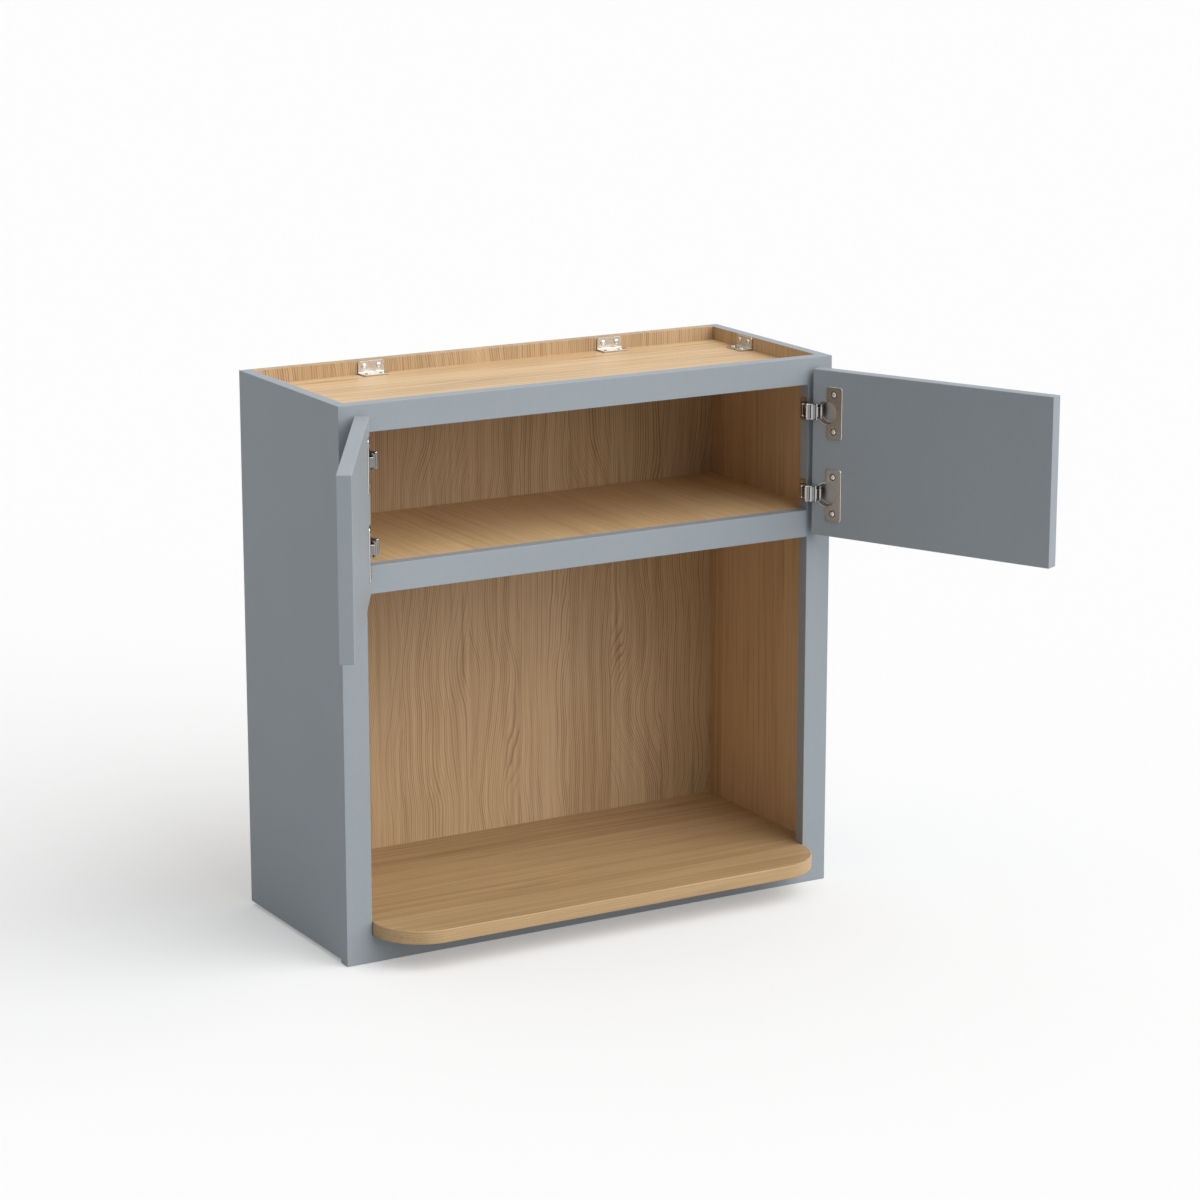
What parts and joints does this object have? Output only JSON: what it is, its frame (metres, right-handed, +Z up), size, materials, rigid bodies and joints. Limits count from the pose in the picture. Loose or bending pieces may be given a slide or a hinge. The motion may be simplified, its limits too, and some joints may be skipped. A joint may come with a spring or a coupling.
{
  "type": "microwave wall cabinet",
  "caption": "Face-frame wall cabinet with an open microwave niche, a round-cornered shelf that reaches out in front, and a cupboard above with slab doors on concealed hinges.",
  "frame": {"origin": "middle of the cabinet's rear face, which meets the wall, halfway up", "axes": "+X to the right seen from the front, +Y into the wall, +Z up; the doors stand open as stored"},
  "size_m": [1.0624, 0.653, 0.762],
  "materials": {
    "painted_wood": "satin blue-grey paint on board; inner faces of the side panels are oak veneer",
    "oak_veneer": "satin light oak veneer",
    "nickel_plate": "nickel-plated pressed steel",
    "zinc_screw": "bright zinc-plated screw"
  },
  "bodies": {
    "cabinet": {"left_side_panel": "painted_wood", "right_side_panel": "painted_wood", "back_panel": "oak_veneer", "top_panel": "oak_veneer", "cupboard_floor": "oak_veneer", "microwave_shelf": "oak_veneer", "left_stile": "painted_wood", "right_stile": "painted_wood", "top_rail": "painted_wood", "middle_rail": "painted_wood", "bottom_rail": "painted_wood", "back_left_bracket": "nickel_plate", "back_left_bracket_screw_1": "zinc_screw", "back_left_bracket_screw_2": "zinc_screw", "back_left_bracket_screw_3": "zinc_screw", "back_left_bracket_screw_4": "zinc_screw", "back_right_bracket": "nickel_plate", "back_right_bracket_screw_1": "zinc_screw", "back_right_bracket_screw_2": "zinc_screw", "back_right_bracket_screw_3": "zinc_screw", "back_right_bracket_screw_4": "zinc_screw", "left_bracket": "nickel_plate", "left_bracket_screw_1": "zinc_screw", "left_bracket_screw_2": "zinc_screw", "left_bracket_screw_3": "zinc_screw", "left_bracket_screw_4": "zinc_screw", "right_bracket": "nickel_plate", "right_bracket_screw_1": "zinc_screw", "right_bracket_screw_2": "zinc_screw", "right_bracket_screw_3": "zinc_screw", "right_bracket_screw_4": "zinc_screw", "left_lower_hinge_leaf": "nickel_plate", "left_lower_hinge_leaf_screw": "zinc_screw", "left_upper_hinge_leaf": "nickel_plate", "left_upper_hinge_leaf_screw": "zinc_screw", "right_lower_hinge_leaf": "nickel_plate", "right_lower_hinge_leaf_screw": "zinc_screw", "right_upper_hinge_leaf": "nickel_plate", "right_upper_hinge_leaf_screw": "zinc_screw"},
    "left_hinge_links": {"left_lower_hinge_link": "nickel_plate", "left_upper_hinge_link": "nickel_plate"},
    "left_door": {"left_door": "painted_wood", "left_lower_hinge_cup": "nickel_plate", "left_lower_hinge_cup_screw_1": "zinc_screw", "left_lower_hinge_cup_screw_2": "zinc_screw", "left_upper_hinge_cup": "nickel_plate", "left_upper_hinge_cup_screw_1": "zinc_screw", "left_upper_hinge_cup_screw_2": "zinc_screw"},
    "right_hinge_links": {"right_lower_hinge_link": "nickel_plate", "right_upper_hinge_link": "nickel_plate"},
    "right_door": {"right_door": "painted_wood", "right_lower_hinge_cup": "nickel_plate", "right_lower_hinge_cup_screw_1": "zinc_screw", "right_lower_hinge_cup_screw_2": "zinc_screw", "right_upper_hinge_cup": "nickel_plate", "right_upper_hinge_cup_screw_1": "zinc_screw", "right_upper_hinge_cup_screw_2": "zinc_screw"}
  },
  "joints": [
    {"name": "left_link_swing", "type": "hinge", "parent": "cabinet", "child": "left_hinge_links", "pos_m": [-0.337, -0.301, 0], "axis": [0, 0, 1], "range_deg": [-40, 0.2]},
    {"name": "left_door_swing", "type": "hinge", "parent": "left_hinge_links", "child": "left_door", "pos_m": [-0.35053, -0.32535, 0], "axis": [0, 0, -1], "range_deg": [-159.6, 0.4]},
    {"name": "right_link_swing", "type": "hinge", "parent": "cabinet", "child": "right_hinge_links", "pos_m": [0.337, -0.301, 0], "axis": [0, 0, -1], "range_deg": [-38.5, 1.7]},
    {"name": "right_door_swing", "type": "hinge", "parent": "right_hinge_links", "child": "right_door", "pos_m": [0.35117, -0.32499, 0], "axis": [0, 0, 1], "range_deg": [-153.6, 6.4]}
  ],
  "couplings": [
    {"joint": "left_link_swing", "follows": "left_door_swing", "ratio": 0.25},
    {"joint": "right_link_swing", "follows": "right_door_swing", "ratio": 0.25}
  ]
}
